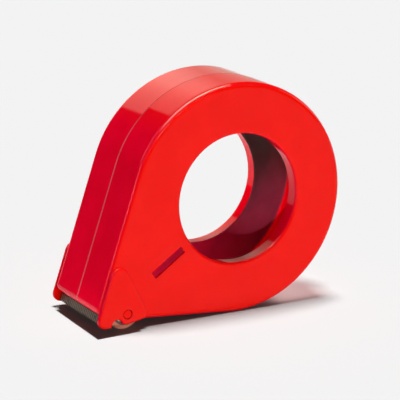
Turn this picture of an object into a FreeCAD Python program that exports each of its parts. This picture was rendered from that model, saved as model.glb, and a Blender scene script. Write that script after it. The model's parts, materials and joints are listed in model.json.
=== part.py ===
"""Closed hand-held dispenser for 50 mm packing tape on a 76 mm core.

Two pressed steel half shells meet at a seam in the middle of the width. They swing apart on a
hinge behind the loop, and a tape roll sits on the two short hub flanges round the hand hole.
The tape leaves at the lower front, between a rubber roller and a toothed blade.

Frame: origin on the roll's axis, half way across the width. +X is the rear, +Y the right-hand
side, +Z up. The loop and the roller both touch the floor at z = -loop_radius. Millimetres.
"""
import FreeCAD, Part
import math
import os
import Sketcher
from FreeCAD import Placement, Rotation, Vector

# Driving dimensions, in millimetres and degrees. Each one is a named cell of the sheet.
SIZES = {
    # pressed half shells
    "loop_radius": 64.0,
    "case_width": 55.0,
    "sheet_thickness": 1.2,
    "seam_gap": 0.3,
    "corner_radius": 3.0,
    "front_angle": 161.2,      # where the loop runs into the straight front wall
    "bottom_angle": 265.4,     # where the loop runs into the straight bottom wall
    "bottom_wall_gap": 0.4,    # from the bottom wall's end to the roller's cut
    "lip_height": 13.9,        # start of the curled lip above the floor
    "lip_radius": 3.6,
    "lip_curl": 100.0,
    "hole_radius": 36.0,
    "hub_depth": 8.0,
    "rim_radius": 1.6,
    "gauge_angle": 214.7,      # radial window that shows how much tape is left
    "gauge_distance": 52.6,
    "gauge_length": 21.6,
    "gauge_width": 4.4,
    # roller and its axle
    "roller_radius": 9.6,
    "roller_nose_gap": 6.6,    # from the roller to the front wall's face
    "roller_inset": 2.0,       # from the case's side face to the roller's end
    "roller_clearance": 1.5,
    "roller_chamfer": 0.9,
    "tyre_thickness": 2.6,
    "core_wall": 2.6,
    "bushing_depth": 8.0,
    "bushing_flange": 0.5,
    "bushing_flange_radius": 5.6,
    "axle_radius": 2.4,
    "axle_chamfer": 0.3,
    "axle_engagement": 2.5,    # how far the axle's free end reaches into the left cheek
    "axle_head_radius": 3.8,
    "axle_head_height": 0.8,
    "axle_hole_play": 0.35,
    "running_clearance": 0.05,
    "slip_clearance": 0.03,
    "washer_radius": 4.4,
    "washer_thickness": 0.5,
    "clip_thickness": 0.6,
    "clip_radius": 4.2,
    "groove_depth": 0.5,
    "clip_mouth_share": 0.8,   # half the clip's mouth, as a share of the groove's radius
    # cheek plates
    "cheek_thickness": 2.6,
    "cheek_setback": 0.7,
    "cheek_height": 43.5,      # where its front and back edges would meet
    "cheek_ground_gap": 3.1,
    "cheek_front_round": 4.0,
    "cheek_top_round": 4.9,
    "cheek_tail_round": 3.0,
    "cheek_edge_round": 1.2,
    "lobe_radius": 5.7,
    "tail_slope": 10.7,
    "tail_length": 12.5,
    "notch_radius": 3.15,
    "notch_ahead": 6.0,
    "notch_below": 5.6,
    # blade and holder, measured down and in from where the lip starts
    "blade_top": 4.5,
    "blade_length": 4.5,
    "blade_setback": 4.8,
    "blade_thickness": 0.6,
    "tooth_pitch": 2.0,
    "tooth_depth": 1.3,
    "tooth_gap_share": 0.96,   # how much of the pitch a gap takes at the tips
    "holder_thickness": 1.2,
    "holder_length": 3.6,
    "holder_rise": 0.2,        # how far the holder stands above the blade
    "holder_tab": 4.0,
    "blade_end_gap": 0.6,
    "blade_rivet_radius": 0.8,
    "blade_rivet_head_radius": 1.3,
    "blade_rivet_head_height": 0.4,
    "blade_rivet_spacing": 17.0,
    # tape stop flap, which rests just off the roller
    "flap_pivot_rise": 19.7,
    "flap_pivot_setback": 6.0,
    "flap_thickness": 1.0,
    "flap_gap": 0.8,
    "flap_contact_angle": 41.3,
    "flap_left_inset": 8.5,    # insets count from the case's side face
    "flap_right_inset": 6.3,
    "flap_rod_radius": 1.2,
    "flap_knuckle_wall": 0.9,
    "flap_rod_head_radius": 1.9,
    "flap_rod_head_height": 0.8,
    "bracket_thickness": 1.2,
    "bracket_inner_inset": 20.7,
    "bracket_outer_inset": 3.9,
    "bracket_half_height": 5.0,
    "ear_half_height": 3.0,
    "ear_gap": 0.4,
    "spring_start_inset": 15.9,
    "spring_end_inset": 11.3,
    "spring_wire_radius": 0.35,
    "spring_coils": 4.0,
    "spring_play": 0.25,
    # lap strip inside the seam, and the snap that holds the case shut
    "strip_thickness": 1.0,
    "strip_right_width": 6.0,
    "strip_left_width": 4.0,
    "lap_gap": 0.35,
    "strip_start_angle": 17.0,
    "strip_end_rise": 30.0,
    "snap_rise": 46.0,
    "snap_height": 12.0,
    "snap_thickness": 0.7,
    "snap_reach": 5.0,
    "snap_root": 16.0,
    "snap_bump_radius": 1.2,
    "snap_hole_radius": 1.7,
    "snap_bump_offset": 3.0,
    "snap_bump_gap": 0.3,      # from the bump's tip to the right shell
    "snap_bend_gap": 0.6,      # from the lap strip's edge to the snap's step
    # rear hinge
    "leaf_thickness": 1.2,
    "leaf_inner": 3.2,
    "leaf_outer": 13.0,
    "hinge_height": 28.0,
    "knuckle_radius": 2.6,
    "knuckle_stand_off": 0.3,
    "knuckle_gap": 0.4,
    "hinge_pin_radius": 1.25,
    "hinge_pin_head_radius": 2.1,
    "hinge_pin_head_height": 0.8,
    "hinge_pin_play": 0.1,     # the pin's length beyond the knuckles at each end
    "head_taper": 0.6,         # a rivet head's face, as a share of its radius
    "rivet_radius": 1.2,
    "rivet_head_radius": 2.1,
    "rivet_head_height": 0.8,
    "rivet_offset": 8.6,
    "rivet_angle": 8.5,
}
KNUCKLES = 5
BLADE_RIVETS = 3
OVERCUT = 4    # how far a cut runs past what it cuts

doc = FreeCAD.newDocument("tape_dispenser")
sheet = doc.addObject("Spreadsheet::Sheet", "Sizes")
for row, (alias, amount) in enumerate(SIZES.items(), start=1):
    sheet.set(f"A{row}", alias)
    sheet.set(f"B{row}", str(amount))
    sheet.setAlias(f"B{row}", alias)
doc.recompute()


class SizeNames:
    """size.loop_radius is the expression that reads that cell."""

    def __getattr__(self, alias):
        if alias not in SIZES:
            raise AttributeError(alias)
        return "Sizes." + alias


size = SizeNames()

HALF_WIDTH = f"({size.case_width} / 2)"
HALF_GAP = f"({size.seam_gap} / 2)"
FRONT_COS = f"cos({size.front_angle})"
FRONT_SIN = f"sin({size.front_angle})"
BOTTOM_COS = f"cos({size.bottom_angle})"
BOTTOM_SIN = f"sin({size.bottom_angle})"
WALL_LEAN = f"(180 - {size.front_angle})"


def value(expression):
    return float(sheet.evalExpression(str(expression)))


# ---- places on the outline, as (x, z) pairs of expressions ----

def on_front(run, setback):
    """A point `run` down the front wall from the loop, `setback` behind its face."""
    x = f"(({size.loop_radius} - ({setback})) * {FRONT_COS} - ({run}) * {FRONT_SIN})"
    z = f"(({size.loop_radius} - ({setback})) * {FRONT_SIN} + ({run}) * {FRONT_COS})"
    return x, z


def front_at_height(height, setback):
    """A point at a height above the floor, `setback` behind the front wall's face."""
    z = f"(({height}) - {size.loop_radius})"
    x = f"(({size.loop_radius} - ({setback}) - {z} * {FRONT_SIN}) / {FRONT_COS})"
    return x, z


def on_bottom(run, rise):
    """A point `run` forward along the bottom wall from the loop, `rise` inside its face."""
    x = f"(({size.loop_radius} - ({rise})) * {BOTTOM_COS} + ({run}) * {BOTTOM_SIN})"
    z = f"(({size.loop_radius} - ({rise})) * {BOTTOM_SIN} - ({run}) * {BOTTOM_COS})"
    return x, z


def on_circle(radius, angle):
    return f"(({radius}) * cos({angle}))", f"(({radius}) * sin({angle}))"


LIP = front_at_height(size.lip_height, "0")
LIP_RUN = f"(({LIP[1]} - {size.loop_radius} * {FRONT_SIN}) / {FRONT_COS})"
ROLLER_SETBACK = f"({size.roller_radius} + {size.roller_nose_gap})"
ROLLER = front_at_height(size.roller_radius, ROLLER_SETBACK)
NOTCH_CUT_RADIUS = f"({size.roller_radius} + {size.roller_clearance})"
BOTTOM_END = f"({ROLLER[0]} + {NOTCH_CUT_RADIUS} + {size.bottom_wall_gap})"
BOTTOM_RUN = f"(({BOTTOM_END} - {size.loop_radius} * {BOTTOM_COS}) / {BOTTOM_SIN})"


def lip_point(radius):
    """The curled lip's end, on a circle of the given radius about the curl's centre."""
    run = f"({LIP_RUN} + ({radius}) * sin({size.lip_curl}))"
    setback = f"({size.lip_radius} - ({radius}) * cos({size.lip_curl}))"
    return on_front(run, setback)


# ---- building blocks ----

def new_body(label):
    body = doc.addObject("PartDesign::Body", label)
    body.Label = label
    return body


def bind(target, **expressions):
    """Binds properties to expressions; double underscores stand for dots."""
    for name, expression in expressions.items():
        target.setExpression(name.replace("__", "."), str(expression))


def origin_item(body, role):
    return next(item for item in body.Origin.OriginFeatures if item.Role == role)


def new_sketch(body, name, role="XZ_Plane", offset="0", turn=None):
    """A sketch on one of the body's origin planes, moved `offset` along that plane's normal."""
    sketch = body.newObject("Sketcher::SketchObject", name)
    sketch.AttachmentSupport = [(origin_item(body, role), "")]
    sketch.MapMode = "FlatFace"
    if turn is not None:
        sketch.AttachmentOffset = Placement(Vector(), Rotation(Vector(1, 0, 0), turn))
    bind(sketch, AttachmentOffset__Base__z=offset)
    return sketch


def arc_centre(start, end, radius, clockwise, large):
    middle = (start + end) / 2
    chord = end - start
    reach = math.sqrt(max(radius ** 2 - (chord.Length / 2) ** 2, 0.0))
    left = Vector(-chord.y, chord.x, 0).normalize()
    return middle + left * (reach if clockwise == large else -reach)


def outline(sketch, corners):
    """Draws a closed outline. A corner is (x, y), or (x, y, radius, way) where an arc starts.

    `way` is "ccw" or "cw", with " large" added for an arc of more than half a turn.
    """
    points = [Vector(value(corner[0]), value(corner[1]), 0) for corner in corners]
    starts = []
    ends = []
    for index, corner in enumerate(corners):
        start = points[index]
        end = points[(index + 1) % len(points)]
        if len(corner) == 2:
            sketch.addGeometry(Part.LineSegment(start, end))
            starts.append(1)
            ends.append(2)
            continue
        clockwise = corner[3].startswith("cw")
        large = corner[3].endswith("large")
        radius = value(corner[2])
        centre = arc_centre(start, end, radius, clockwise, large)
        first, last = (end, start) if clockwise else (start, end)
        angles = [math.atan2(point.y - centre.y, point.x - centre.x) for point in (first, last)]
        circle = Part.Circle(centre, Vector(0, 0, 1), radius)
        sketch.addGeometry(Part.ArcOfCircle(circle, *angles))
        starts.append(2 if clockwise else 1)
        ends.append(1 if clockwise else 2)
    for index, corner in enumerate(corners):
        following = (index + 1) % len(corners)
        joint = Sketcher.Constraint(
            "Coincident", index, ends[index], following, starts[following])
        sketch.addConstraint(joint)
        for kind, expression, amount in (
                ("DistanceX", corner[0], points[index].x), ("DistanceY", corner[1], points[index].y)):
            number = sketch.addConstraint(
                Sketcher.Constraint(kind, -1, 1, index, starts[index], amount))
            sketch.setExpression(f"Constraints[{number}]", expression)
        if len(corner) > 2:
            number = sketch.addConstraint(Sketcher.Constraint("Radius", index, value(corner[2])))
            sketch.setExpression(f"Constraints[{number}]", corner[2])
    return sketch


def round_outline(sketch, x, y, radius):
    centre = Vector(value(x), value(y), 0)
    sketch.addGeometry(Part.Circle(centre, Vector(0, 0, 1), value(radius)))
    for kind, expression in (("DistanceX", x), ("DistanceY", y)):
        number = sketch.addConstraint(
            Sketcher.Constraint(kind, -1, 1, 0, 3, value(expression)))
        sketch.setExpression(f"Constraints[{number}]", expression)
    number = sketch.addConstraint(Sketcher.Constraint("Radius", 0, value(radius)))
    sketch.setExpression(f"Constraints[{number}]", radius)
    return sketch


def extrude(body, kind, name, sketch, length, reverse):
    """Adds a Pad or a Pocket and makes sure that it adds or removes material."""
    before = body.Shape.Volume if body.Tip else 0.0
    feature = body.newObject("PartDesign::" + kind, name)
    feature.Profile = sketch
    feature.Reversed = reverse
    bind(feature, Length=length)
    doc.recompute()
    change = body.Shape.Volume - before
    if change * (1 if kind == "Pad" else -1) < 1e-3:
        raise RuntimeError(f"{body.Label}.{name} changed the volume by {change}")
    return feature


def pad(body, name, sketch, length, reverse=False):
    return extrude(body, "Pad", name, sketch, length, reverse)


def pocket(body, name, sketch, length, reverse=False):
    return extrude(body, "Pocket", name, sketch, length, reverse)


def dress(body, kind, name, amount, chosen):
    """A Fillet or Chamfer on every edge of the body that `chosen` accepts."""
    base = body.Tip
    edges = enumerate(base.Shape.Edges, start=1)
    names = [f"Edge{index}" for index, edge in edges if chosen(edge)]
    if not names:
        raise RuntimeError(f"{body.Label}.{name} found no edge")
    feature = body.newObject("PartDesign::" + kind, name)
    feature.Base = (base, names)
    bind(feature, **{"Radius" if kind == "Fillet" else "Size": amount})
    doc.recompute()
    if "Invalid" in feature.State or "Error" in feature.State:
        raise RuntimeError(f"{body.Label}.{name} failed on {names}")
    return feature


def primitive(body, name, kind, base, turn, cut, **sizes):
    role = "Subtractive" if cut else "Additive"
    feature = body.newObject(f"PartDesign::{role}{kind}", name)
    feature.Placement = Placement(Vector(), turn)
    bind(feature, Placement__Base__x=base[0], Placement__Base__y=base[1],
         Placement__Base__z=base[2], **sizes)
    doc.recompute()
    return feature


def block(body, name, low, high, cut=False):
    """A box between two corners, each a triple of expressions."""
    length, width, height = (f"({top}) - ({foot})" for foot, top in zip(low, high))
    return primitive(body, name, "Box", low, Rotation(), cut,
                     Length=length, Width=width, Height=height)


TURNS = {
    "X": Rotation(Vector(0, 1, 0), 90),
    "Y": Rotation(Vector(1, 0, 0), -90),
    "Z": Rotation(),
}


def rod(body, name, axis, base, radius, length, cut=False):
    """A cylinder that starts at `base` and runs along the named axis."""
    return primitive(body, name, "Cylinder", base, TURNS[axis], cut, Radius=radius, Height=length)


def cone(body, name, axis, base, radius, end_radius, length):
    return primitive(body, name, "Cone", base, TURNS[axis], False,
                     Radius1=radius, Radius2=end_radius, Height=length)


def stand_on_axle(body):
    """Puts a piece that was drawn about its own Y axis on the roller's axle."""
    bind(body, Placement__Base__x=ROLLER[0], Placement__Base__z=ROLLER[1])


def stand_on_wall(body):
    """Puts a piece on the front wall: its x runs in from the face, its z up from the lip."""
    body.Placement = Placement(Vector(), Rotation(Vector(0, 1, 0), value(WALL_LEAN)))
    bind(body, Placement__Base__x=LIP[0], Placement__Base__z=LIP[1],
         Placement__Rotation__Angle=WALL_LEAN)


def group(label, members):
    """Identical fasteners share one node, as separate solids."""
    compound = doc.addObject("Part::Compound", label)
    compound.Label = label
    compound.Links = members
    return compound


def side_name(side):
    return "left" if side < 0 else "right"


def edge_at(edge, y):
    """True where the whole edge lies in the plane at this y."""
    box = edge.BoundBox
    return abs(box.YMin - y) < 1e-3 and abs(box.YMax - y) < 1e-3


# ---- pressed half shells ----

def shell_outline(inset):
    """The teardrop, `inset` inside the outer face, from the bottom wall's end to the lip."""
    radius = f"({size.loop_radius} - ({inset}))"
    curl = f"({size.lip_radius} - ({inset}))"
    return [
        on_bottom(BOTTOM_RUN, inset),
        (*on_bottom("0", inset), radius, "ccw large"),
        on_front("0", inset),
        (*on_front(LIP_RUN, inset), curl, "ccw"),
        lip_point(curl),
    ]


def along_walls(sketch, y):
    """Chooses the edges at y that follow the bottom wall, loop, front wall and lip."""
    middles = []
    for segment in sketch.Geometry[:4]:
        middle = segment.value((segment.FirstParameter + segment.LastParameter) / 2)
        middles.append(Vector(middle.x, y, middle.y))

    def chosen(edge):
        middle = edge.valueAt((edge.FirstParameter + edge.LastParameter) / 2)
        return any(middle.distanceToPoint(place) < 0.01 for place in middles)

    return chosen


def half_shell(side):
    """side is -1 for the left shell, which opens, and +1 for the right one."""
    body = new_body(side_name(side) + "_shell")
    outward = side > 0
    seam = f"{-side} * {HALF_GAP}"
    face = f"{-side} * {HALF_WIDTH}"
    face_y = side * value(HALF_WIDTH)
    depth = f"{HALF_WIDTH} - {HALF_GAP}"
    inner = size.sheet_thickness

    blank = outline(new_sketch(body, "BlankOutline", offset=seam), shell_outline("0"))
    pad(body, "Blank", blank, depth, reverse=outward)
    dress(body, "Fillet", "OuterCorner", size.corner_radius, along_walls(blank, face_y))

    lip_end = lip_point(f"{size.lip_radius} + {OVERCUT}")
    below = on_bottom(BOTTOM_RUN, f"-{OVERCUT}")
    hollow = outline(new_sketch(body, "HollowOutline", offset=seam),
                     shell_outline(inner) + [lip_end, below])
    pocket(body, "Hollow", hollow, f"{depth} - {inner}", reverse=not outward)
    floor_y = side * (value(HALF_WIDTH) - value(inner))

    dress(body, "Fillet", "InnerCorner", f"{size.corner_radius} - {inner}",
          along_walls(hollow, floor_y))

    hub = round_outline(new_sketch(body, "HubOutline", offset=face), "0", "0",
                        f"{size.hole_radius} + {inner}")
    pad(body, "Hub", hub, size.hub_depth, reverse=not outward)
    hole = round_outline(new_sketch(body, "HandHoleOutline", offset=face), "0", "0",
                         size.hole_radius)
    pocket(body, "HandHole", hole, size.hub_depth, reverse=outward)

    def hole_rim(edge):
        round_edge = hasattr(edge.Curve, "Radius")
        return (edge_at(edge, face_y) and round_edge
                and abs(edge.Curve.Radius - value(size.hole_radius)) < 1e-3)

    dress(body, "Fillet", "HoleRim", size.rim_radius, hole_rim)

    window = gauge_window(new_sketch(body, "GaugeOutline", offset=face))
    pocket(body, "GaugeWindow", window, f"2 * {inner}", reverse=outward)

    roller_cut = round_outline(new_sketch(body, "RollerCutOutline", offset=face),
                               *ROLLER, NOTCH_CUT_RADIUS)
    pocket(body, "RollerCut", roller_cut, f"2 * {inner}", reverse=outward)

    for number, lift in enumerate((-1, 1), start=1):
        turned = new_sketch(body, f"HingeHoleOutline{number}", "YZ_Plane",
                            turn=lift * value(size.rivet_angle))
        round_outline(turned, f"{side} * {size.rivet_offset}", "0",
                      f"{size.rivet_radius} + {size.slip_clearance}")
        pocket(body, f"HingeHole{number}", turned, f"{size.loop_radius} + {OVERCUT}", reverse=True)
    return body


def gauge_window(sketch):
    """A slot whose long axis points at the loop's centre."""
    corners = []
    for along, across in ((-0.5, -0.5), (0.5, -0.5), (0.5, 0.5), (-0.5, 0.5)):
        distance = f"({size.gauge_distance} + ({along}) * {size.gauge_length})"
        sideways = f"(({across}) * {size.gauge_width})"
        corners.append((
            f"{distance} * cos({size.gauge_angle}) - {sideways} * sin({size.gauge_angle})",
            f"{distance} * sin({size.gauge_angle}) + {sideways} * cos({size.gauge_angle})"))
    return outline(sketch, corners)


# ---- cheek plates, spot-welded outside the shells ----

def cheek(side):
    body = new_body(side_name(side) + "_cheek")
    outward = side > 0
    face = f"{-side} * {HALF_WIDTH}"
    outer_y = side * (value(HALF_WIDTH) + value(size.cheek_thickness))
    notch = (f"{ROLLER[0]} - {size.notch_ahead}", f"{ROLLER[1]} - {size.notch_below}")
    tail_start = (f"{ROLLER[0]} + {size.lobe_radius} * sin({size.tail_slope})",
                  f"{ROLLER[1]} - {size.lobe_radius} * cos({size.tail_slope})")
    tail = (f"{tail_start[0]} + {size.tail_length} * cos({size.tail_slope})",
            f"{tail_start[1]} + {size.tail_length} * sin({size.tail_slope})")
    toe = front_at_height(size.cheek_ground_gap, size.cheek_setback)
    top = front_at_height(size.cheek_height, size.cheek_setback)
    corners = [
        toe,
        (f"{notch[0]} - {size.notch_radius} / 2", toe[1]),
        (f"{notch[0]} + {size.notch_radius} / 3", f"{notch[1]} + {size.notch_radius} * 2 / 3"),
        (ROLLER[0], f"{ROLLER[1]} - {size.lobe_radius} / 3"),
        tail_start,
        tail,
        top,
    ]
    pad(body, "Plate", outline(new_sketch(body, "PlateOutline", offset=face), corners),
        size.cheek_thickness, reverse=outward)
    lobe = round_outline(new_sketch(body, "LobeOutline", offset=face), *ROLLER, size.lobe_radius)
    pad(body, "AxleLobe", lobe, size.cheek_thickness, reverse=outward)
    arch = round_outline(new_sketch(body, "NotchOutline", offset=face), *notch, size.notch_radius)
    pocket(body, "Notch", arch, size.cheek_thickness, reverse=not outward)

    for name, place, radius in (("ToeRound", toe, size.cheek_front_round),
                                ("TopRound", top, size.cheek_top_round),
                                ("TailRound", tail, size.cheek_tail_round)):
        x, z = value(place[0]), value(place[1])
        dress(body, "Fillet", name, radius,
              lambda edge: math.hypot(edge.BoundBox.XMin - x, edge.BoundBox.ZMin - z) < 0.01
              and edge.BoundBox.XLength < 1e-3 and edge.BoundBox.ZLength < 1e-3)
    dress(body, "Fillet", "FaceEdge", size.cheek_edge_round, lambda edge: edge_at(edge, outer_y))

    play = size.axle_hole_play if side < 0 else size.slip_clearance
    hole = round_outline(new_sketch(body, "AxleHoleOutline", offset=face), *ROLLER,
                         f"{size.axle_radius} + {play}")
    pocket(body, "AxleHole", hole, size.cheek_thickness, reverse=not outward)
    return body


# ---- roller, axle and what holds them ----

ROLLER_END = f"({HALF_WIDTH} - {size.roller_inset})"
ROLLER_LENGTH = f"({ROLLER_END} * 2)"
CORE_RADIUS = f"({size.roller_radius} - {size.tyre_thickness})"
BUSHING_RADIUS = f"({CORE_RADIUS} - {size.core_wall})"
FLANGE_END = f"({ROLLER_END} + {size.bushing_flange})"
WASHER_START = f"({FLANGE_END} + {size.running_clearance})"
CLIP_START = f"({WASHER_START} + {size.washer_thickness} + {size.running_clearance})"
GROOVE_RADIUS = f"({size.axle_radius} - {size.groove_depth})"
CHEEK_FACE = f"({HALF_WIDTH} + {size.cheek_thickness})"


def roller_tyre():
    body = new_body("roller_tyre")
    rod(body, "Rubber", "Y", ("0", f"-{ROLLER_END}", "0"), size.roller_radius, ROLLER_LENGTH)
    dress(body, "Chamfer", "Rims", size.roller_chamfer,
          lambda edge: edge.BoundBox.YLength < 1e-3)
    rod(body, "Bore", "Y", ("0", f"-{ROLLER_END}", "0"), CORE_RADIUS, ROLLER_LENGTH, cut=True)
    stand_on_axle(body)
    return body


def roller_core():
    body = new_body("roller_core")
    rod(body, "Tube", "Y", ("0", f"-{ROLLER_END}", "0"), CORE_RADIUS, ROLLER_LENGTH)
    rod(body, "Bore", "Y", ("0", f"-{ROLLER_END}", "0"), BUSHING_RADIUS, ROLLER_LENGTH,
        cut=True)
    stand_on_axle(body)
    return body


def roller_bushing(side):
    body = new_body(side_name(side) + "_bushing")
    inner_end = f"({ROLLER_END} - {size.bushing_depth})"
    sleeve_start = inner_end if side > 0 else f"-{ROLLER_END}"
    flange_start = ROLLER_END if side > 0 else f"-{FLANGE_END}"
    rod(body, "Sleeve", "Y", ("0", sleeve_start, "0"), BUSHING_RADIUS, size.bushing_depth)
    rod(body, "Flange", "Y", ("0", flange_start, "0"), size.bushing_flange_radius,
        size.bushing_flange)
    bore_start = sleeve_start if side > 0 else flange_start
    rod(body, "Bore", "Y", ("0", bore_start, "0"), f"{size.axle_radius} + {size.running_clearance}",
        f"{size.bushing_depth} + {size.bushing_flange}", cut=True)
    stand_on_axle(body)
    return body


def roller_axle():
    """Headed outside the right cheek, grooved for two clips, free at its left end."""
    body = new_body("roller_axle")
    left_end = f"-({HALF_WIDTH} + {size.axle_engagement})"
    cone(body, "FreeEnd", "Y", ("0", left_end, "0"),
         f"{size.axle_radius} - {size.axle_chamfer}", size.axle_radius, size.axle_chamfer)
    start = f"({left_end} + {size.axle_chamfer})"
    rod(body, "Shaft", "Y", ("0", start, "0"), size.axle_radius, f"{CHEEK_FACE} - {start}")
    rod(body, "Head", "Y", ("0", CHEEK_FACE, "0"), size.axle_head_radius, size.axle_head_height)
    for side in (-1, 1):
        name = side_name(side).capitalize()
        groove = CLIP_START if side > 0 else f"-({CLIP_START} + {size.clip_thickness})"
        rod(body, name + "Groove", "Y", ("0", groove, "0"), f"{size.axle_radius} + {OVERCUT}",
            size.clip_thickness, cut=True)
        rod(body, name + "GrooveFloor", "Y", ("0", groove, "0"), GROOVE_RADIUS,
            size.clip_thickness)
    stand_on_axle(body)
    return body


def axle_washer(side):
    body = new_body(side_name(side) + "_washer_solid")
    start = WASHER_START if side > 0 else f"-({WASHER_START} + {size.washer_thickness})"
    rod(body, "Disc", "Y", ("0", start, "0"), size.washer_radius, size.washer_thickness)
    rod(body, "Bore", "Y", ("0", start, "0"), f"{size.axle_radius} + {size.running_clearance}",
        size.washer_thickness, cut=True)
    stand_on_axle(body)
    return body


def axle_clip(side):
    """An open ring that springs into the axle's groove."""
    body = new_body(side_name(side) + "_clip_solid")
    start = CLIP_START if side > 0 else f"-({CLIP_START} + {size.clip_thickness})"
    end = f"({start} + {size.clip_thickness})"
    rod(body, "Disc", "Y", ("0", start, "0"), size.clip_radius, size.clip_thickness)
    rod(body, "Bore", "Y", ("0", start, "0"), f"{GROOVE_RADIUS} + {size.slip_clearance}",
        size.clip_thickness, cut=True)
    mouth = f"({GROOVE_RADIUS} * {size.clip_mouth_share})"
    block(body, "Mouth", (f"-{mouth}", start, "0"), (mouth, end, f"{size.clip_radius} + {OVERCUT}"),
          cut=True)
    stand_on_axle(body)
    return body


# ---- blade and its holder ----

BLADE_LEFT = f"(-{HALF_WIDTH} + {size.blade_end_gap})"
BLADE_RIGHT = f"({HALF_WIDTH} - {size.sheet_thickness})"
HOLDER_FACE = f"({size.blade_setback} + {size.blade_thickness})"
RIVET_HEIGHT = f"(-({size.blade_top} + {size.holder_length} / 2))"


def cutter_blade():
    body = new_body("cutter_blade")
    foot = f"(-({size.blade_top} + {size.blade_length}))"
    block(body, "Strip", (size.blade_setback, BLADE_LEFT, foot),
          (HOLDER_FACE, BLADE_RIGHT, f"-{size.blade_top}"))
    first = f"({BLADE_LEFT} + {size.tooth_pitch} / 2)"
    half_gap = f"({size.tooth_pitch} * {size.tooth_gap_share} / 2)"
    tooth_gap = outline(
        new_sketch(body, "ToothGapOutline", "YZ_Plane", offset=size.blade_setback), [
            (f"{first} - {half_gap}", f"{foot} - 0.01"),
            (f"{first} + {half_gap}", f"{foot} - 0.01"),
            (first, f"{foot} + {size.tooth_depth}")])
    gap = pocket(body, "ToothGap", tooth_gap, size.blade_thickness, reverse=True)
    count = int(value(f"({BLADE_RIGHT} - {BLADE_LEFT}) / {size.tooth_pitch}"))
    row = body.newObject("PartDesign::LinearPattern", "ToothRow")
    row.Originals = [gap]
    row.Direction = (origin_item(body, "Y_Axis"), [""])
    row.Occurrences = count
    bind(row, Length=f"{size.tooth_pitch} * {count - 1}")
    body.Tip = row
    doc.recompute()
    for number, y in enumerate(blade_rivet_places(), start=1):
        rod(body, f"RivetHole{number}", "X", (size.blade_setback, y, RIVET_HEIGHT),
            f"{size.blade_rivet_radius} + {size.slip_clearance}", size.blade_thickness, cut=True)
    stand_on_wall(body)
    return body


def blade_rivet_places():
    middle = (BLADE_RIVETS - 1) / 2
    return [f"({number - middle} * {size.blade_rivet_spacing})" for number in range(BLADE_RIVETS)]


def blade_holder():
    """A flat bar behind the blade, with a tab folded back along the right cheek."""
    body = new_body("blade_holder")
    top = f"({size.holder_rise} - {size.blade_top})"
    foot = f"(-({size.blade_top} + {size.holder_length}))"
    back = f"({HOLDER_FACE} + {size.holder_thickness})"
    block(body, "Bar", (HOLDER_FACE, BLADE_LEFT, foot), (back, HALF_WIDTH, top))
    block(body, "Tab", (HOLDER_FACE, f"{HALF_WIDTH} - {size.holder_thickness}", foot),
          (f"{back} + {size.holder_tab}", HALF_WIDTH, top))
    for number, y in enumerate(blade_rivet_places(), start=1):
        rod(body, f"RivetHole{number}", "X", (HOLDER_FACE, y, RIVET_HEIGHT),
            f"{size.blade_rivet_radius} + {size.slip_clearance}", size.holder_thickness, cut=True)
    stand_on_wall(body)
    return body


def blade_rivets():
    members = []
    for number, y in enumerate(blade_rivet_places(), start=1):
        body = new_body(f"blade_rivet_{number}")
        back = f"({HOLDER_FACE} + {size.holder_thickness})"
        rod(body, "Shank", "X", (size.blade_setback, y, RIVET_HEIGHT), size.blade_rivet_radius,
            f"{back} - {size.blade_setback}")
        cone(body, "Head", "X", (back, y, RIVET_HEIGHT), size.blade_rivet_head_radius,
             f"{size.blade_rivet_head_radius} / 2", size.blade_rivet_head_height)
        stand_on_wall(body)
        members.append(body)
    return group("blade_rivets", members)


# ---- tape stop flap ----

PIVOT = (size.flap_pivot_setback, size.flap_pivot_rise)
ROLLER_RUN = (f"(({ROLLER[1]} - ({size.loop_radius} - {ROLLER_SETBACK}) * {FRONT_SIN})"
              f" / {FRONT_COS})")
TIP_DISTANCE = f"({size.roller_radius} + {size.flap_gap} + {size.flap_thickness} / 2)"
TIP_DOWN = (f"({ROLLER_RUN} - {LIP_RUN} + {size.flap_pivot_rise}"
            f" - {TIP_DISTANCE} * sin({size.flap_contact_angle}))")
TIP_IN = (f"({ROLLER_SETBACK} - {size.flap_pivot_setback}"
          f" - {TIP_DISTANCE} * cos({size.flap_contact_angle}))")
KNUCKLE_BORE = f"({size.flap_rod_radius} + {size.running_clearance})"
KNUCKLE_OUTSIDE = f"({KNUCKLE_BORE} + {size.flap_knuckle_wall})"
BRACKET_INNER = f"({HALF_WIDTH} - {size.bracket_inner_inset})"
BRACKET_OUTER = f"({HALF_WIDTH} - {size.bracket_outer_inset})"
SPRING_START = f"({HALF_WIDTH} - {size.spring_start_inset})"
SPRING_END = f"({HALF_WIDTH} - {size.spring_end_inset})"
EAR_INNER_END = f"({BRACKET_INNER} + {size.bracket_thickness})"
EAR_OUTER_START = f"({BRACKET_OUTER} - {size.bracket_thickness})"


def flap_bracket():
    body = new_body("flap_bracket")
    low = f"({PIVOT[1]} - {size.bracket_half_height})"
    high = f"({PIVOT[1]} + {size.bracket_half_height})"
    wall = size.sheet_thickness
    block(body, "Base", (wall, BRACKET_INNER, low),
          (f"{wall} + {size.bracket_thickness}", BRACKET_OUTER, high))
    ear_low = f"({PIVOT[1]} - {size.ear_half_height})"
    ear_high = f"({PIVOT[1]} + {size.ear_half_height})"
    ear_end = f"({PIVOT[0]} + {size.ear_half_height})"
    for name, start, end in (("InnerEar", BRACKET_INNER, EAR_INNER_END),
                             ("OuterEar", EAR_OUTER_START, BRACKET_OUTER)):
        block(body, name, (wall, start, ear_low), (ear_end, end, ear_high))
        rod(body, name + "Hole", "Y", (PIVOT[0], start, PIVOT[1]),
            f"{size.flap_rod_radius} + {size.slip_clearance}", f"{end} - {start}", cut=True)
    stand_on_wall(body)
    return body


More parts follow.
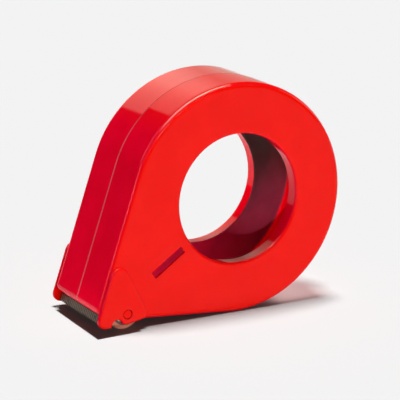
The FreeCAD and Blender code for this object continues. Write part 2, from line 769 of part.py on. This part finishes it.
def flap_rod():
    body = new_body("flap_rod")
    start = f"({size.flap_left_inset} - {HALF_WIDTH} - {size.ear_gap})"
    end = f"({BRACKET_OUTER} + {size.running_clearance})"
    head = size.flap_rod_head_height
    rod(body, "Shaft", "Y", (PIVOT[0], start, PIVOT[1]), size.flap_rod_radius, f"{end} - {start}")
    for name, foot in (("LeftHead", f"({start} - {head})"), ("RightHead", end)):
        rod(body, name, "Y", (PIVOT[0], foot, PIVOT[1]), size.flap_rod_head_radius, head)
    stand_on_wall(body)
    return body


def tape_flap():
    """A plate that hangs from the rod on three knuckles, drawn about the rod's axis."""
    body = new_body("tape_flap")
    reach = f"sqrt({TIP_DOWN} * {TIP_DOWN} + {TIP_IN} * {TIP_IN})"
    half = f"({size.flap_thickness} / 2)"
    left = f"({size.flap_left_inset} - {HALF_WIDTH})"
    right = f"({HALF_WIDTH} - {size.flap_right_inset})"
    below_ears = f"(-({size.ear_half_height} * sqrt(2) + {size.ear_gap}))"
    block(body, "Plate", (f"-{half}", left, f"-{reach}"), (half, right, below_ears))
    knuckles = (
        ("Left", left, f"({BRACKET_INNER} - {size.ear_gap})"),
        ("Middle", f"({EAR_INNER_END} + {size.ear_gap})", f"({SPRING_START} - {size.ear_gap})"),
        ("Right", f"({SPRING_END} + {size.ear_gap})", right),
    )
    for name, start, end in knuckles:
        block(body, name + "Web", (f"-{half}", start, below_ears), (half, end, "0"))
        rod(body, name + "Knuckle", "Y", ("0", start, "0"), KNUCKLE_OUTSIDE, f"{end} - ({start})")
    rod(body, "Bore", "Y", ("0", left, "0"), KNUCKLE_BORE, f"{right} - ({left})", cut=True)
    lean = f"({WALL_LEAN} - atan2({TIP_IN}; {TIP_DOWN}) / 1 deg)"
    pivot_run = f"({LIP_RUN} - {size.flap_pivot_rise})"
    x, z = on_front(pivot_run, size.flap_pivot_setback)
    body.Placement = Placement(Vector(), Rotation(Vector(0, 1, 0), value(lean)))
    bind(body, Placement__Base__x=x, Placement__Base__z=z, Placement__Rotation__Angle=lean)
    return body


def flap_spring():
    """A torsion spring: a helix round the rod, made from its own sweep."""
    wire_radius = value(size.spring_wire_radius)
    mean_radius = value(size.flap_rod_radius) + value(size.spring_play) + wire_radius
    length = value(SPRING_END) - value(SPRING_START) - 2 * wire_radius
    helix = Part.makeHelix(length / value(size.spring_coils), length, mean_radius)
    section = Part.Wire(Part.makeCircle(
        wire_radius, Vector(mean_radius, 0, 0), Vector(0, 1, 0)))
    coil = Part.Wire(helix.Edges).makePipeShell([section], True, True)
    turn = Rotation(Vector(1, 0, 0), -90)
    start = value(SPRING_START) + wire_radius
    coil.Placement = Placement(Vector(value(PIVOT[0]), start, value(PIVOT[1])), turn)
    spring = doc.addObject("Part::Feature", "flap_spring")
    spring.Label = "flap_spring"
    spring.Shape = Part.makeSolid(coil) if coil.ShapeType == "Shell" else coil
    lean = Rotation(Vector(0, 1, 0), value(WALL_LEAN))
    on_wall = Placement(Vector(value(LIP[0]), 0, value(LIP[1])), lean)
    spring.Placement = on_wall.multiply(coil.Placement)
    return spring


# ---- lap strip and snap ----

def seam_strip():
    """Spot-welded inside the right shell's edge, stepped in where it laps the left shell."""
    body = new_body("seam_strip")
    run = f"({LIP_RUN} - {size.strip_end_rise})"

    def band(outer):
        inner = f"({outer} + {size.strip_thickness})"
        angle = size.strip_start_angle
        outer_radius = f"({size.loop_radius} - ({outer}))"
        inner_radius = f"({size.loop_radius} - {inner})"
        return [
            (*on_circle(outer_radius, angle), outer_radius, "ccw"),
            on_front("0", outer),
            on_front(run, outer),
            on_front(run, inner),
            (*on_front("0", inner), inner_radius, "cw"),
            on_circle(inner_radius, angle),
        ]

    right = outline(new_sketch(body, "RightBand", offset=f"-{HALF_GAP}"),
                    band(size.sheet_thickness))
    pad(body, "Right", right, f"{size.strip_right_width} - {HALF_GAP}", reverse=True)
    left = outline(new_sketch(body, "LeftBand", offset=f"-{size.strip_thickness}"),
                   band(f"({size.sheet_thickness} + {size.lap_gap})"))
    pad(body, "Left", left, f"{size.strip_thickness} + {size.strip_left_width}")
    x, z = on_front(f"({LIP_RUN} - {size.snap_rise})", "0")
    cutter = primitive(body, "SnapHole", "Cylinder", (x, size.snap_bump_offset, z),
                       Rotation(Vector(0, 1, 0), 90 + value(WALL_LEAN)), True,
                       Radius=size.snap_hole_radius, Height=str(OVERCUT))
    bind(cutter, Placement__Rotation__Angle=f"90 + {WALL_LEAN}")
    doc.recompute()
    return body


def snap_spring():
    """Welded inside the left shell; its bump clicks into the hole in the lap strip."""
    body = new_body("snap_spring")
    low = f"({size.snap_rise} - {size.snap_height} / 2)"
    high = f"({size.snap_rise} + {size.snap_height} / 2)"
    wall = size.sheet_thickness
    step = f"({wall} + {size.lap_gap} + {size.strip_thickness} + {size.lap_gap})"
    bend = f"(-{size.strip_left_width} - {size.snap_bend_gap})"
    block(body, "Root", (wall, f"-{size.snap_root}", low),
          (f"{wall} + {size.snap_thickness}", bend, high))
    block(body, "Step", (wall, f"{bend} - {size.snap_thickness}", low),
          (f"{step} + {size.snap_thickness}", bend, high))
    block(body, "Tongue", (step, f"{bend} - {size.snap_thickness}", low),
          (f"{step} + {size.snap_thickness}", size.snap_reach, high))
    tip = f"({wall} + {size.snap_bump_gap})"
    cone(body, "Bump", "X", (tip, size.snap_bump_offset, size.snap_rise),
         f"{size.snap_bump_radius} * {size.head_taper}", size.snap_bump_radius,
         f"{step} - {tip}")
    stand_on_wall(body)
    return body


# ---- rear hinge ----

HINGE_X = f"({size.loop_radius} + {size.knuckle_radius} + {size.knuckle_stand_off})"
KNUCKLE_PITCH = f"(({size.hinge_height} + {size.knuckle_gap}) / {KNUCKLES})"
LEAF_ANGLE = f"asin({size.hinge_height} / 2 / {size.loop_radius})"


def knuckle_span(number):
    low = f"(-{size.hinge_height} / 2 + {number} * {KNUCKLE_PITCH})"
    return low, f"({low} + {KNUCKLE_PITCH} - {size.knuckle_gap})"


def hinge_leaf(side):
    """A curved leaf on the loop's back, with its own knuckles: three right, two left."""
    body = new_body(side_name(side) + "_hinge_leaf")
    outward = side > 0
    outer_radius = f"({size.loop_radius} + {size.leaf_thickness})"

    def sector(name, low_angle, high_angle):
        sketch = new_sketch(body, name, offset=f"{-side} * {size.leaf_inner}")
        return outline(sketch, [
            on_circle(size.loop_radius, low_angle),
            (*on_circle(outer_radius, low_angle), outer_radius, "ccw"),
            on_circle(outer_radius, high_angle),
            (*on_circle(size.loop_radius, high_angle), size.loop_radius, "cw"),
        ])

    pad(body, "Leaf", sector("LeafOutline", f"-{LEAF_ANGLE}", LEAF_ANGLE),
        f"{size.leaf_outer} - {size.leaf_inner}", reverse=outward)
    own = [number for number in range(KNUCKLES) if (number % 2 == 0) == outward]
    web_out = size.knuckle_radius
    web_in = f"({size.knuckle_radius} - {size.leaf_thickness})"
    for number in own:
        low, high = knuckle_span(number)
        angles = [f"asin({end} / {size.loop_radius})" for end in (low, high)]
        pad(body, f"Tongue{number}", sector(f"TongueOutline{number}", *angles),
            f"{size.leaf_inner} - {web_in}", reverse=not outward)
        near, far = (web_in, web_out) if outward else (f"-{web_out}", f"-{web_in}")
        block(body, f"Web{number}", (f"{size.loop_radius} - {size.knuckle_radius}", near, low),
              (HINGE_X, far, high))
    cut = round_outline(new_sketch(body, "ShellOutline", offset=f"{-side} * {size.leaf_inner}"),
                        "0", "0", size.loop_radius)
    pocket(body, "ShellClearance", cut, size.leaf_inner, reverse=outward)
    for number in own:
        low, high = knuckle_span(number)
        rod(body, f"Knuckle{number}", "Z", (HINGE_X, "0", low), size.knuckle_radius,
            f"{high} - {low}")
    rod(body, "PinHole", "Z", (HINGE_X, "0", f"-{size.hinge_height}"),
        f"{size.hinge_pin_radius} + {size.running_clearance}", f"2 * {size.hinge_height}",
        cut=True)
    for number, lift in enumerate((-1, 1), start=1):
        turned = new_sketch(body, f"RivetHoleOutline{number}", "YZ_Plane",
                            turn=lift * value(size.rivet_angle))
        round_outline(turned, f"{side} * {size.rivet_offset}", "0",
                      f"{size.rivet_radius} + {size.slip_clearance}")
        pocket(body, f"RivetHole{number}", turned, f"{size.loop_radius} + {OVERCUT}", reverse=True)
    return body


def hinge_pin():
    body = new_body("hinge_pin")
    half = f"({size.hinge_height} / 2 + {size.hinge_pin_play})"
    rod(body, "Shaft", "Z", (HINGE_X, "0", f"-{half}"), size.hinge_pin_radius, f"2 * {half}")
    cone(body, "TopHead", "Z", (HINGE_X, "0", half), size.hinge_pin_head_radius,
         f"{size.hinge_pin_head_radius} * {size.head_taper}", size.hinge_pin_head_height)
    foot = f"(-{half} - {size.hinge_pin_head_height})"
    cone(body, "FootHead", "Z", (HINGE_X, "0", foot),
         f"{size.hinge_pin_head_radius} * {size.head_taper}", size.hinge_pin_head_radius,
         size.hinge_pin_head_height)
    return body


def hinge_rivets(side):
    """Radial rivets through the leaf and the shell, headed on both faces."""
    members = []
    inner_end = f"({size.loop_radius} - {size.sheet_thickness} - 2 * {size.slip_clearance})"
    outside = f"({size.loop_radius} + {size.leaf_thickness})"
    y = f"({side} * {size.rivet_offset})"
    for number, lift in enumerate((-1, 1), start=1):
        body = new_body(f"{side_name(side)}_hinge_rivet_{number}")
        rod(body, "Shank", "X", (inner_end, y, "0"), size.rivet_radius,
            f"{outside} - {inner_end}")
        cone(body, "Head", "X", (outside, y, "0"), size.rivet_head_radius,
             f"{size.rivet_head_radius} * {size.head_taper}", size.rivet_head_height)
        cone(body, "Tail", "X", (f"{inner_end} - {size.rivet_head_height}", y, "0"),
             f"{size.rivet_head_radius} * {size.head_taper}", size.rivet_head_radius,
             size.rivet_head_height)
        turn = f"({-lift} * {size.rivet_angle})"
        body.Placement = Placement(Vector(), Rotation(Vector(0, 1, 0), value(turn)))
        bind(body, Placement__Rotation__Angle=turn)
        members.append(body)
    return group(side_name(side) + "_hinge_rivets", members)


# ---- the whole dispenser ----

LEFT = -1
RIGHT = 1

nodes = [
    half_shell(LEFT),
    half_shell(RIGHT),
    cheek(LEFT),
    cheek(RIGHT),
    roller_tyre(),
    roller_core(),
    roller_bushing(LEFT),
    roller_bushing(RIGHT),
    roller_axle(),
    group("axle_washers", [axle_washer(LEFT), axle_washer(RIGHT)]),
    group("axle_clips", [axle_clip(LEFT), axle_clip(RIGHT)]),
    cutter_blade(),
    blade_holder(),
    blade_rivets(),
    flap_bracket(),
    flap_rod(),
    tape_flap(),
    flap_spring(),
    seam_strip(),
    snap_spring(),
    hinge_leaf(LEFT),
    hinge_leaf(RIGHT),
    hinge_pin(),
    hinge_rivets(LEFT),
    hinge_rivets(RIGHT),
]
doc.recompute()

for item in doc.Objects:
    if "Invalid" in item.State or "Error" in item.State:
        raise RuntimeError(f"{item.Label} did not rebuild: {item.State}")
for node in nodes:
    if node.Shape.isNull() or not node.Shape.isValid() or node.Shape.Volume <= 0:
        raise RuntimeError(f"{node.Label} is not a valid solid")

os.makedirs("parts", exist_ok=True)
for node in nodes:
    node.Shape.exportStep(f"parts/{node.Label}.step")
    print(f"{node.Label}: {len(node.Shape.Solids)} solid(s), {node.Shape.Volume:.1f} mm3")
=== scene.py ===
"""Looks of the closed hand-held tape dispenser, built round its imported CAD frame. Metres."""
import json
import math

import bpy
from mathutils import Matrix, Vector


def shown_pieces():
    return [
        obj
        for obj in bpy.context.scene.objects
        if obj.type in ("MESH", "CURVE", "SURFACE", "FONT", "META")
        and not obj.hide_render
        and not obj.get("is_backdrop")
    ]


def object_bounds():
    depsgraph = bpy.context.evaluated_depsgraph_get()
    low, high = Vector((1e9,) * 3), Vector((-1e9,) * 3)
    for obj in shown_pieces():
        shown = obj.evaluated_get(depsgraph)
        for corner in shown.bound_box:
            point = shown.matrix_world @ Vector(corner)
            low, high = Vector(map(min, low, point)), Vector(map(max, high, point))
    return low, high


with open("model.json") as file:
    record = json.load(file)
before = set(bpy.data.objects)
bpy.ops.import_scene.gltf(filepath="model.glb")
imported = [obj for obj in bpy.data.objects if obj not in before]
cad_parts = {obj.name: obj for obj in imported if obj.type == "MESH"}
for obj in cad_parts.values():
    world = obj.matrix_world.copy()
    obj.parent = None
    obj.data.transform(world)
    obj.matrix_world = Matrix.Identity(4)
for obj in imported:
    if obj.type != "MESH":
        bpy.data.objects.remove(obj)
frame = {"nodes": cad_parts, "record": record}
cad_low, cad_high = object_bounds()
FLOOR = cad_low.z

# ---- materials ----

# Colours are linear; a pair is a surface's darker and lighter patches.
# The next two reds are one red paint painted as shade and as light: a shaded crimson for the rims
# and a lit orange for the flats.
SHADED_CRIMSON = ((0.71, 0.0005, 0.018), (0.77, 0.0007, 0.021))
LIT_ORANGE_RED = ((0.83, 0.004, 0.001), (0.87, 0.005, 0.0012))
PRIMER_GREY = ((0.145, 0.145, 0.14), (0.18, 0.18, 0.17))
# A painted highlight, not a colour of the paint: the pale pink line where the shells' rounded edges
# meet at the seam.
SEAM_HIGHLIGHT_PINK = (0.95, 0.30, 0.33)
AXLE_RED = (0.85, 0.0045, 0.0011)
ZINC = ((0.36, 0.35, 0.33), (0.62, 0.61, 0.58))
BLUED = ((0.16, 0.17, 0.20), (0.30, 0.31, 0.34))
DULL_BROWN = ((0.075, 0.052, 0.042), (0.13, 0.092, 0.075))
GROUND_BEVEL = (0.30, 0.225, 0.175)
TAN = ((0.58, 0.195, 0.125), (0.70, 0.25, 0.165))
CORE_BROWN = ((0.10, 0.055, 0.04), (0.15, 0.08, 0.06))
NYLON = ((0.62, 0.58, 0.50), (0.72, 0.68, 0.60))

CROWN = 0.03             # how steeply each half's rim falls away from the seam
SEAM_EDGES = (0.00065, 0.0004)    # off mid-width, the painted highlight at the seam has faded out, and is full
SEAM_HIGHLIGHT_SHARE = 0.4         # how strongly that painted highlight's pink shows
ORANGE_PEEL = 4e-6       # relief depths, in metres
FINE_GRIT = 1.5e-7
SCRATCH_DEPTH = 2e-6
TOOTH_PITCH = 0.002
PAINTED_END = -0.029     # the axle is painted to the left of this


class Graph:
    """A material's node tree, with its Principled shader."""

    def __init__(self, name):
        self.material = bpy.data.materials.new(name)
        self.material.use_nodes = True
        self.tree = self.material.node_tree
        self.tree.nodes.clear()
        self.shader = self.add("BsdfPrincipled")
        output = self.add("OutputMaterial")
        self.tree.links.new(self.shader.outputs[0], output.inputs[0])
        self.place = self.add("TexCoord").outputs["Object"]

    def add(self, kind, **settings):
        node = self.tree.nodes.new("ShaderNode" + kind)
        for name, amount in settings.items():
            setattr(node, name, amount)
        return node

    def put(self, socket, amount):
        """Links a socket to another, or sets its own value."""
        if isinstance(amount, bpy.types.NodeSocket):
            self.tree.links.new(amount, socket)
        else:
            socket.default_value = amount

    def feed(self, node, **inputs):
        """Puts a node's inputs; underscores stand for spaces."""
        for name, amount in inputs.items():
            self.put(node.inputs[name.replace("_", " ")], amount)
        return node

    def split(self, source):
        """X, Y and Z of a vector."""
        return self.feed(self.add("SeparateXYZ"), Vector=source).outputs

    def noise(self, scale, detail, rough=0.5, stretch=(1, 1, 1)):
        mapped = self.feed(self.add("Mapping"), Vector=self.place, Scale=stretch)
        made = self.feed(self.add("TexNoise"), Vector=mapped.outputs[0], Scale=scale,
                         Detail=detail, Roughness=rough)
        return made.outputs["Fac"]

    def spread(self, source, low, high, to_low=0.0, to_high=1.0):
        """Maps low..high to to_low..to_high, and holds the ends."""
        made = self.feed(self.add("MapRange"), Value=source, From_Min=low, From_Max=high,
                         To_Min=to_low, To_Max=to_high)
        return made.outputs[0]

    def math(self, operation, first, second=0.0):
        made = self.add("Math", operation=operation)
        self.put(made.inputs[0], first)
        self.put(made.inputs[1], second)
        return made.outputs[0]

    def blend(self, factor, first, second):
        """A colour between first and second, each a socket or three numbers."""
        made = self.add("Mix", data_type="RGBA")
        self.put(made.inputs[0], factor)
        for socket, color in ((made.inputs[6], first), (made.inputs[7], second)):
            known = isinstance(color, tuple)
            self.put(socket, (*color, 1.0) if known else color)
        return made.outputs[2]

    def bump(self, height, depth, before=None):
        """depth is the real height of the relief in metres; before is a normal to add to."""
        made = self.feed(self.add("Bump"), Height=height, Strength=1.0, Distance=depth)
        if before is not None:
            self.feed(made, Normal=before)
        return made.outputs[0]


def enamel(outward):
    """Red paint, with painted light and shade: lit orange flats and shaded crimson rims. A shell's
    own faces turned inward show grey primer.

    outward is the way a shell's painted flat faces along Y, or 0 for a part red all round.
    """
    g = Graph("red_enamel")
    mottle = g.noise(60, 3)
    tone = g.spread(mottle, 0.35, 0.65)
    peel = g.noise(520, 2, 0.45)
    grit = g.noise(2600, 2, 0.6)
    normal_x, normal_y, normal_z = g.split(g.add("TexCoord").outputs["Normal"])
    if outward:
        facing = g.math("MULTIPLY", normal_y, outward)
    else:
        facing = g.math("ABSOLUTE", normal_y)
    flat = g.spread(facing, 0.4, 0.95)
    inner = g.spread(facing, -0.4, -0.95)

    # Painted light and shade: the rim is a shaded crimson below and in front, and takes the flats'
    # lit orange over the top, as if lit from above.
    lit_side = g.blend(tone, *LIT_ORANGE_RED)
    rim_shade_and_light = g.blend(g.spread(normal_z, 0.6, 0.9), g.blend(tone, *SHADED_CRIMSON), lit_side)
    # Painted highlight: a pale pink line either side of the seam on the front wall, standing in for
    # light caught by the shells' rounded edges.
    from_seam = g.math("ABSOLUTE", g.split(g.place)[1])
    seam_highlight = g.math("MULTIPLY", g.spread(from_seam, *SEAM_EDGES),
                  g.spread(normal_x, -0.6, -0.85))
    paint_and_painted_light = g.blend(g.math("MULTIPLY", seam_highlight, SEAM_HIGHLIGHT_SHARE), g.blend(flat, rim_shade_and_light, lit_side), SEAM_HIGHLIGHT_PINK)

    crown = g.math("MULTIPLY", from_seam, g.spread(normal_z, 0.35, 0.6, 0.0, -CROWN))
    crowned = g.bump(crown, 1.0)
    g.feed(g.shader, Base_Color=g.blend(inner, paint_and_painted_light, g.blend(tone, *PRIMER_GREY)),
           Roughness=g.spread(mottle, 0.3, 0.7, 0.34, 0.44),
           Specular_IOR_Level=0.0, Coat_Weight=1.0, Coat_IOR=1.25, Coat_Roughness=0.03,
           Coat_Normal=g.bump(peel, ORANGE_PEEL, g.bump(grit, FINE_GRIT, crowned)))
    return g.material


def steel(name, colors, rough, grain=(1, 1, 1), painted_end=None):
    """Patchy scratched steel. Left of painted_end, if given, it is painted red."""
    g = Graph(name)
    patches = g.noise(240, 4)
    lines = g.noise(1800, 4, 0.6, grain)
    tone = g.math("ADD", g.math("MULTIPLY", patches, 0.5), g.math("MULTIPLY", lines, 0.5))
    color = g.blend(g.spread(tone, 0.38, 0.62), *colors)
    metal = 1.0
    if painted_end is not None:
        painted = g.math("LESS_THAN", g.split(g.place)[1], painted_end)
        color = g.blend(painted, color, AXLE_RED)
        metal = g.math("SUBTRACT", 1.0, painted)
        g.feed(g.shader, Specular_IOR_Level=0.1)
    g.feed(g.shader, Base_Color=color, Metallic=metal,
           Roughness=g.spread(tone, 0.3, 0.7, rough + 0.12, rough),
           Normal=g.bump(lines, SCRATCH_DEPTH))
    return g.material


def toothed_steel():
    """Dull steel with a bright ground bevel at each tooth."""
    g = Graph("toothed_steel")
    patches = g.noise(240, 4)
    scratches = g.noise(1800, 4, 0.6, (12, 1, 12))
    tooth = g.math("FRACT", g.math("DIVIDE", g.split(g.place)[1], TOOTH_PITCH))
    bevel = g.spread(g.math("ABSOLUTE", g.math("SUBTRACT", tooth, 0.5)), 0.24, 0.14)
    dull = g.blend(g.spread(patches, 0.38, 0.62), *DULL_BROWN)
    g.feed(g.shader, Base_Color=g.blend(bevel, dull, GROUND_BEVEL), Metallic=1.0,
           Roughness=g.spread(scratches, 0.3, 0.7, 0.46, 0.34),
           Normal=g.bump(scratches, SCRATCH_DEPTH))
    return g.material


def rubber():
    """Mottled tan rubber that lets a little light through."""
    g = Graph("tan_rubber")
    mottle = g.noise(300, 4)
    specks = g.noise(4000, 2)
    g.feed(g.shader, Base_Color=g.blend(g.spread(mottle, 0.3, 0.7), *TAN),
           Roughness=g.spread(specks, 0.3, 0.7, 0.38, 0.55), Subsurface_Weight=0.25,
           Subsurface_Radius=(0.0025, 0.0012, 0.0007), Subsurface_Scale=1.0,
           Normal=g.bump(specks, 6e-6, g.bump(mottle, 2e-5)))
    return g.material


def plastic(name, colors, rough):
    """Moulded plastic with a fine matt texture."""
    g = Graph(name)
    mottle = g.noise(400, 3)
    fine = g.noise(5000, 2)
    g.feed(g.shader, Base_Color=g.blend(g.spread(mottle, 0.3, 0.7), *colors),
           Roughness=g.spread(fine, 0.3, 0.7, rough, rough + 0.12), Normal=g.bump(fine, 4e-6))
    return g.material


# A node of its own look by name, and every other node by its material slot.
OWN_LOOKS = {
    "left_shell": enamel(-1.0),
    "right_shell": enamel(1.0),
    "roller_axle": steel("axle_steel", ZINC, 0.28, painted_end=PAINTED_END),
}
OWN_LOOKS["blade_holder"] = OWN_LOOKS["blade_rivets"] = steel("dark_steel", DULL_BROWN, 0.36)
LOOKS = {
    "enamel": enamel(0.0),
    "bare_steel": steel("zinc_steel", ZINC, 0.28),
    "spring_steel": steel("blued_steel", BLUED, 0.26, (1, 12, 1)),
    "blade_steel": toothed_steel(),
    "roller_rubber": rubber(),
    "roller_core": plastic("core_moulding", CORE_BROWN, 0.45),
    "bushing_nylon": plastic("nylon", NYLON, 0.35),
}
for part in frame["record"]["subparts"]:
    node = frame["nodes"][part["node"]]
    node.data.materials.clear()
    look = OWN_LOOKS.get(part["node"]) or LOOKS[part["material_slot"]]
    node.data.materials.append(look)


# ---- stage, light and camera ----

def stage_plane(name, corners, material, **seen):
    """A flat card of the stage. seen says which rays meet it, as camera=False."""
    mesh = bpy.data.meshes.new(name)
    mesh.from_pydata([Vector(c) for c in corners], [], [range(len(corners))])
    mesh.materials.append(material)
    plane = bpy.data.objects.new(name, mesh)
    bpy.context.scene.collection.objects.link(plane)
    for ray, shown in seen.items():
        setattr(plane, "visible_" + ray, shown)
    plane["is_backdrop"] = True
    return plane


def glow(name, stops, color=(1.0, 1.0, 1.0)):
    """Light given off by a card, varying along X; stops are pairs of place and strength."""
    material = bpy.data.materials.new(name)
    material.use_nodes = True
    tree = material.node_tree
    tree.nodes.clear()
    split = tree.nodes.new("ShaderNodeSeparateXYZ")
    tree.links.new(tree.nodes.new("ShaderNodeTexCoord").outputs["Object"], split.inputs[0])
    first, last = stops[0][0], stops[-1][0]
    peak = max(strength for place, strength in stops) or 1.0
    share = tree.nodes.new("ShaderNodeMapRange")
    share.inputs["From Min"].default_value = first
    share.inputs["From Max"].default_value = last
    tree.links.new(split.outputs[0], share.inputs[0])
    ramp = tree.nodes.new("ShaderNodeValToRGB")
    tree.links.new(share.outputs[0], ramp.inputs[0])

    def tint(element, strength):
        element.color = (*[strength / peak * part for part in color], 1.0)

    # The ramp starts with its two end stops; the rest are made between them.
    tint(ramp.color_ramp.elements[0], stops[0][1])
    tint(ramp.color_ramp.elements[1], stops[-1][1])
    for place, strength in stops[1:-1]:
        tint(ramp.color_ramp.elements.new((place - first) / (last - first)), strength)
    light = tree.nodes.new("ShaderNodeEmission")
    light.inputs[1].default_value = peak
    tree.links.new(ramp.outputs[0], light.inputs[0])
    output = tree.nodes.new("ShaderNodeOutputMaterial")
    tree.links.new(light.outputs[0], output.inputs[0])
    return material


PAPER_WHITE = 0.3
PAPER_HAZE = 0.014    # keeps the deepest shadow from going black


def paper():
    """A matt sheet, lit to a clean white by a lamp of its own."""
    material = bpy.data.materials.new("paper")
    material.use_nodes = True
    shader = material.node_tree.nodes["Principled BSDF"]
    shader.inputs["Base Color"].default_value = (PAPER_WHITE, PAPER_WHITE, PAPER_WHITE, 1)
    shader.inputs["Roughness"].default_value = 0.9
    shader.inputs["Specular IOR Level"].default_value = 0.0
    shader.inputs["Emission Color"].default_value = (1, 1, 1, 1)
    shader.inputs["Emission Strength"].default_value = PAPER_HAZE
    return material


def aim(thing, place, target):
    """Puts a lamp or the camera at a place, looking at the target."""
    thing.location = Vector(place)
    thing.rotation_mode = "QUATERNION"
    thing.rotation_quaternion = (Vector(target) - Vector(place)).to_track_quat("-Z", "Y")


def way(azimuth, elevation, distance):
    """A place seen from the object along these angles, in the views' own terms."""
    turn, rise = math.radians(azimuth), math.radians(elevation)
    return distance * Vector((math.sin(turn) * math.cos(rise), -math.cos(turn) * math.cos(rise),
                              math.sin(rise)))


REACH = 12.0    # from the middle of the floor to its edges
floor = stage_plane("floor", [(-REACH, -REACH, FLOOR), (REACH, -REACH, FLOOR),
                              (REACH, REACH, FLOOR), (-REACH, REACH, FLOOR)], paper())

# Each lamp lights one of these sets. "inside" is the right shell alone, because its inner face
# shows through the hand hole, and "outside" is every other piece of the dispenser.
receivers = {name: bpy.data.collections.new(name + "_lights")
             for name in ("object", "outside", "inside", "shells", "floor")}
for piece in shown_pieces():
    receivers["object"].objects.link(piece)
    inside = piece == frame["nodes"]["right_shell"]
    receivers["inside" if inside else "outside"].objects.link(piece)
for name in ("left_shell", "right_shell"):
    receivers["shells"].objects.link(frame["nodes"][name])
receivers["floor"].objects.link(floor)


def lamp(name, kind, place, target, energy, lit, **settings):
    """A lamp for one set of receivers, never seen itself or mirrored."""
    data = bpy.data.lights.new(name, kind)
    data.energy = energy
    for setting, amount in settings.items():
        setattr(data, setting, amount)
    light = bpy.data.objects.new(name, data)
    bpy.context.scene.collection.objects.link(light)
    aim(light, place, target)
    light.visible_camera = False
    light.visible_glossy = False
    light.light_linking.receiver_collection = receivers[lit]


WORLD_GREY = 0.006
world = bpy.data.worlds.new("studio")
world.use_nodes = True
world.node_tree.nodes["Background"].inputs[0].default_value = (
    WORLD_GREY, WORLD_GREY, WORLD_GREY, 1)
bpy.context.scene.world = world

CENTRE = Vector((0, 0, 0))
OVERHEAD = (0.08, 0.05, 1.0)
KEY_SPREAD = math.radians(16)
FLOOR_WHITE = 0.896
FLOOR_KEY = math.pi * (FLOOR_WHITE - PAPER_HAZE) / PAPER_WHITE
LAMP_DISTANCE = 1.5

# Two suns share one place: one whitens the floor, the other lights the object.
lamp("floor_key", "SUN", OVERHEAD, CENTRE, FLOOR_KEY, "floor", angle=KEY_SPREAD)
lamp("object_key", "SUN", OVERHEAD, CENTRE, math.pi, "object", angle=KEY_SPREAD)

# Low fills, two facing the nose and one facing the left half.
lamp("nose_fill", "AREA", way(-80, 3, LAMP_DISTANCE), CENTRE, 1.7, "outside", size=0.3)
lamp("face_fill", "AREA", way(-5, 2, LAMP_DISTANCE), CENTRE, 14.0, "outside", size=0.3)
lamp("far_nose_fill", "AREA", way(-88, 3, LAMP_DISTANCE), CENTRE, 2.8, "inside", size=0.3)

# The magenta seen through the hand hole, and a small crimson glow in the bottom of the case.
lamp("hole_fill", "SPOT", way(-35, 1, LAMP_DISTANCE), (0.049, 0.026, -0.023), 210.0, "inside",
     color=(1.0, 0.09, 0.22), shadow_soft_size=0.02, spot_size=math.radians(1.3), spot_blend=1.0)
lamp("inner_glow", "POINT", (-0.022, -0.010, -0.045), CENTRE, 0.11, "inside",
     color=(1.0, 0.01, 0.07), shadow_soft_size=0.004)

# The pink of the floor's shadow under the loop, a glow on the lip at the nose, and two low
# lamps on the far side.
lamp("under_glow", "AREA", (0.044, 0.0, FLOOR + 0.006), (0.044, 0.0, FLOOR), 0.0105, "floor",
     shape="RECTANGLE", size=0.033, size_y=0.05, color=(1.0, 0.70, 0.68))
lamp("lip_glow", "AREA", (-0.0985, -0.012, -0.0605), (-0.0885, -0.012, -0.0525), 0.0018,
     "shells", shape="RECTANGLE", size=0.032, size_y=0.006)
lamp("back_fill", "AREA", (0.4, 1.7, FLOOR + 0.2), CENTRE, 12.0, "object", size=0.8)
lamp("lip_fill", "AREA", (-0.35, 0.45, FLOOR + 0.05), (-0.07, 0, FLOOR), 1.0, "object",
     size=0.15)

# The backdrop, the soft box and the strip are seen only in the enamel's reflections.
MIRRORED = {"camera": False, "diffuse": False, "shadow": False}
BACKDROP_Y, BACKDROP_TOP = 1.0, 0.9
backdrop_stops = [(-0.4, 0), (-0.235, 0), (-0.22, 1.2), (0.0, 1.5), (0.2, 1.9), (0.32, 1.6),
                  (0.5, 0.6), (3.0, 0.6)]
stage_plane("backdrop",
            [(-0.4, BACKDROP_Y, FLOOR), (3.0, BACKDROP_Y, FLOOR),
             (3.0, BACKDROP_Y, BACKDROP_TOP), (-0.4, BACKDROP_Y, BACKDROP_TOP)],
            glow("backdrop_glow", backdrop_stops, (1.0, 0.96, 0.84)), **MIRRORED)

soft_box_stops = [(-1.4, 10), (-0.7, 36), (0.1, 40), (0.4, 12)]
stage_plane("soft_box",
            [(-1.4, -0.2, 1.0), (0.4, -0.2, 1.0), (0.4, 0.2, 1.0), (-1.4, 0.2, 1.0)],
            glow("soft_box_glow", soft_box_stops, (1.0, 0.88, 0.72)), **MIRRORED)

# The flag is never seen. It only casts shadow, to widen the dark patch under the nose.
FLAG_Z = FLOOR + 0.003
stage_plane("flag",
            [(-0.0888, -0.0345, FLAG_Z), (-0.062, -0.033, FLAG_Z),
             (-0.062, 0.022, FLAG_Z), (-0.0872, 0.022, FLAG_Z)],
            glow("flag_black", [(-1, 0), (1, 0)]), camera=False, diffuse=False, glossy=False)

STRIP_X = -1.4
stage_plane("side_strip",
            [(STRIP_X, -0.12, 0.15), (STRIP_X, 0.08, 0.15),
             (STRIP_X, 0.08, 1.0), (STRIP_X, -0.12, 1.0)],
            glow("side_strip_glow", [(-1.5, 10), (-1.3, 10)]), **MIRRORED)

camera_data = bpy.data.cameras.new("camera")
camera_data.lens = 192.94
camera_data.sensor_width = 36.0
camera_data.clip_start = 0.05
camera_data.clip_end = 60.0
camera = bpy.data.objects.new("camera", camera_data)
bpy.context.scene.collection.objects.link(camera)
bpy.context.scene.camera = camera
TARGET = Vector((-0.01104, -0.00336, -0.00496))
aim(camera, TARGET + way(-28.31, 14.99, 1.1775), TARGET)
bpy.context.scene.view_settings.view_transform = "Standard"
